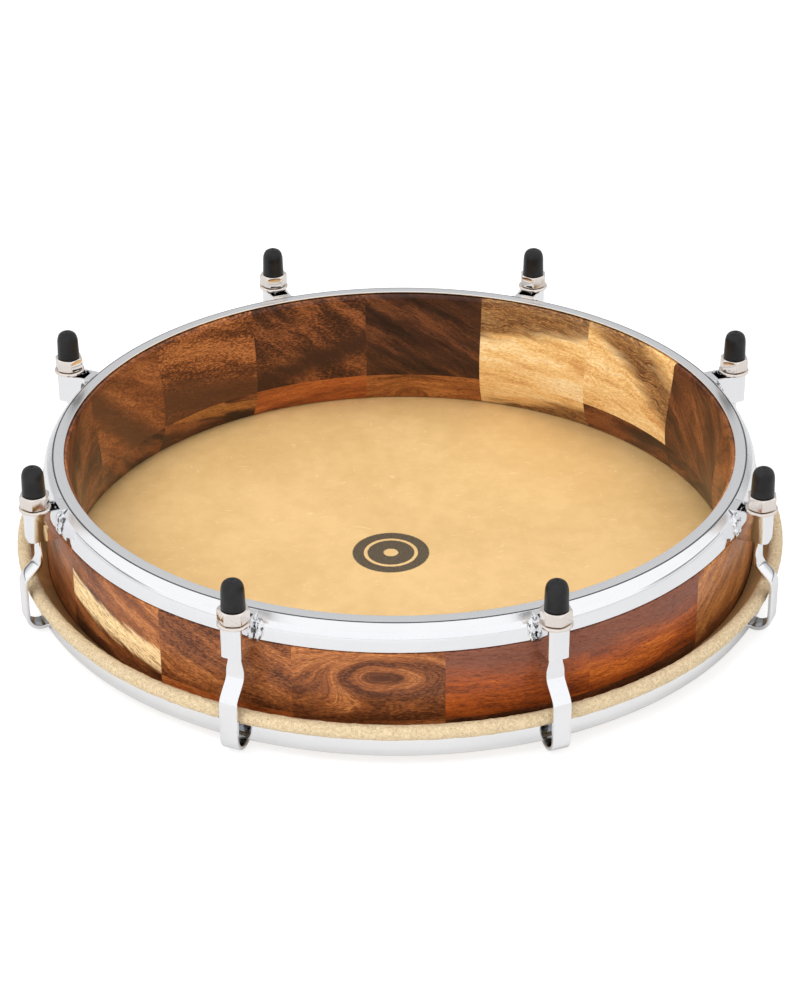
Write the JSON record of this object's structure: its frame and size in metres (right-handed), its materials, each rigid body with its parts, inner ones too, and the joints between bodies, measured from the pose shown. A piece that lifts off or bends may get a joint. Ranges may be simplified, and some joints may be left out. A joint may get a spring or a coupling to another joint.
{
  "type": "tunable frame drum",
  "caption": "Round hand frame drum with a goat skin head, wooden block shell, chromed back ring and counter hoop, and hook bolts tuned by capped nuts.",
  "frame": {"origin": "centre of the head's outer face, which is the lowest face of the drum as it lies", "axes": "+Z along the drum's axis, from the head towards the open back; +X and +Y lie midway between two tuning stations"},
  "size_m": [0.3854, 0.3854, 0.0895],
  "materials": {
    "wood": "gloss lacquer over mixed dark and light blocks",
    "chrome": "polished",
    "nickel": "warm satin plating",
    "skin": "dry translucent goat skin",
    "rubber": "satin"
  },
  "bodies": {
    "drum": {"shell": "wood", "back_ring": "chrome", "counter_hoop": "chrome", "flesh_hoop": "nickel", "drum_head": "skin", "lug_1": "chrome", "lug_2": "chrome", "lug_3": "chrome", "lug_4": "chrome", "lug_5": "chrome", "lug_6": "chrome", "lug_7": "chrome", "lug_8": "chrome", "washer_1": "nickel", "washer_2": "nickel", "washer_3": "nickel", "washer_4": "nickel", "washer_5": "nickel", "washer_6": "nickel", "washer_7": "nickel", "washer_8": "nickel"},
    "nut_1": {"tuning_nut_1": "nickel"},
    "hook_1": {"hook_bolt_1": "chrome"},
    "cap_1": {"rubber_cap_1": "rubber"},
    "nut_2": {"tuning_nut_2": "nickel"},
    "hook_2": {"hook_bolt_2": "chrome"},
    "cap_2": {"rubber_cap_2": "rubber"},
    "nut_3": {"tuning_nut_3": "nickel"},
    "hook_3": {"hook_bolt_3": "chrome"},
    "cap_3": {"rubber_cap_3": "rubber"},
    "nut_4": {"tuning_nut_4": "nickel"},
    "hook_4": {"hook_bolt_4": "chrome"},
    "cap_4": {"rubber_cap_4": "rubber"},
    "nut_5": {"tuning_nut_5": "nickel"},
    "hook_5": {"hook_bolt_5": "chrome"},
    "cap_5": {"rubber_cap_5": "rubber"},
    "nut_6": {"tuning_nut_6": "nickel"},
    "hook_6": {"hook_bolt_6": "chrome"},
    "cap_6": {"rubber_cap_6": "rubber"},
    "nut_7": {"tuning_nut_7": "nickel"},
    "hook_7": {"hook_bolt_7": "chrome"},
    "cap_7": {"rubber_cap_7": "rubber"},
    "nut_8": {"tuning_nut_8": "nickel"},
    "hook_8": {"hook_bolt_8": "chrome"},
    "cap_8": {"rubber_cap_8": "rubber"}
  },
  "joints": [
    {"name": "nut_turn_1", "type": "hinge", "parent": "drum", "child": "nut_1", "pos_m": [0.17314, 0.07171, 0.072], "axis": [0, 0, 1], "range_deg": [0, 1800]},
    {"name": "hook_slide_1", "type": "slide", "parent": "drum", "child": "hook_1", "axis": [0, 0, 1], "range_m": [-0.0063, 0]},
    {"name": "cap_lift_1", "type": "slide", "parent": "drum", "child": "cap_1", "axis": [0, 0, 1], "range_m": [0, 0.012]},
    {"name": "nut_turn_2", "type": "hinge", "parent": "drum", "child": "nut_2", "pos_m": [0.07171, 0.17314, 0.072], "axis": [0, 0, 1], "range_deg": [0, 1800]},
    {"name": "hook_slide_2", "type": "slide", "parent": "drum", "child": "hook_2", "axis": [0, 0, 1], "range_m": [-0.0063, 0]},
    {"name": "cap_lift_2", "type": "slide", "parent": "drum", "child": "cap_2", "axis": [0, 0, 1], "range_m": [0, 0.012]},
    {"name": "nut_turn_3", "type": "hinge", "parent": "drum", "child": "nut_3", "pos_m": [-0.07171, 0.17314, 0.072], "axis": [0, 0, 1], "range_deg": [0, 1800]},
    {"name": "hook_slide_3", "type": "slide", "parent": "drum", "child": "hook_3", "axis": [0, 0, 1], "range_m": [-0.0063, 0]},
    {"name": "cap_lift_3", "type": "slide", "parent": "drum", "child": "cap_3", "axis": [0, 0, 1], "range_m": [0, 0.012]},
    {"name": "nut_turn_4", "type": "hinge", "parent": "drum", "child": "nut_4", "pos_m": [-0.17314, 0.07171, 0.072], "axis": [0, 0, 1], "range_deg": [0, 1800]},
    {"name": "hook_slide_4", "type": "slide", "parent": "drum", "child": "hook_4", "axis": [0, 0, 1], "range_m": [-0.0063, 0]},
    {"name": "cap_lift_4", "type": "slide", "parent": "drum", "child": "cap_4", "axis": [0, 0, 1], "range_m": [0, 0.012]},
    {"name": "nut_turn_5", "type": "hinge", "parent": "drum", "child": "nut_5", "pos_m": [-0.17314, -0.07171, 0.072], "axis": [0, 0, 1], "range_deg": [0, 1800]},
    {"name": "hook_slide_5", "type": "slide", "parent": "drum", "child": "hook_5", "axis": [0, 0, 1], "range_m": [-0.0063, 0]},
    {"name": "cap_lift_5", "type": "slide", "parent": "drum", "child": "cap_5", "axis": [0, 0, 1], "range_m": [0, 0.012]},
    {"name": "nut_turn_6", "type": "hinge", "parent": "drum", "child": "nut_6", "pos_m": [-0.07171, -0.17314, 0.072], "axis": [0, 0, 1], "range_deg": [0, 1800]},
    {"name": "hook_slide_6", "type": "slide", "parent": "drum", "child": "hook_6", "axis": [0, 0, 1], "range_m": [-0.0063, 0]},
    {"name": "cap_lift_6", "type": "slide", "parent": "drum", "child": "cap_6", "axis": [0, 0, 1], "range_m": [0, 0.012]},
    {"name": "nut_turn_7", "type": "hinge", "parent": "drum", "child": "nut_7", "pos_m": [0.07171, -0.17314, 0.072], "axis": [0, 0, 1], "range_deg": [0, 1800]},
    {"name": "hook_slide_7", "type": "slide", "parent": "drum", "child": "hook_7", "axis": [0, 0, 1], "range_m": [-0.0063, 0]},
    {"name": "cap_lift_7", "type": "slide", "parent": "drum", "child": "cap_7", "axis": [0, 0, 1], "range_m": [0, 0.012]},
    {"name": "nut_turn_8", "type": "hinge", "parent": "drum", "child": "nut_8", "pos_m": [0.17314, -0.07171, 0.072], "axis": [0, 0, 1], "range_deg": [0, 1800]},
    {"name": "hook_slide_8", "type": "slide", "parent": "drum", "child": "hook_8", "axis": [0, 0, 1], "range_m": [-0.0063, 0]},
    {"name": "cap_lift_8", "type": "slide", "parent": "drum", "child": "cap_8", "axis": [0, 0, 1], "range_m": [0, 0.012]}
  ],
  "couplings": [
    {"joint": "hook_slide_1", "follows": "nut_turn_1", "m_per_rad": -0.00019894},
    {"joint": "hook_slide_2", "follows": "nut_turn_2", "m_per_rad": -0.00019894},
    {"joint": "hook_slide_3", "follows": "nut_turn_3", "m_per_rad": -0.00019894},
    {"joint": "hook_slide_4", "follows": "nut_turn_4", "m_per_rad": -0.00019894},
    {"joint": "hook_slide_5", "follows": "nut_turn_5", "m_per_rad": -0.00019894},
    {"joint": "hook_slide_6", "follows": "nut_turn_6", "m_per_rad": -0.00019894},
    {"joint": "hook_slide_7", "follows": "nut_turn_7", "m_per_rad": -0.00019894},
    {"joint": "hook_slide_8", "follows": "nut_turn_8", "m_per_rad": -0.00019894}
  ]
}
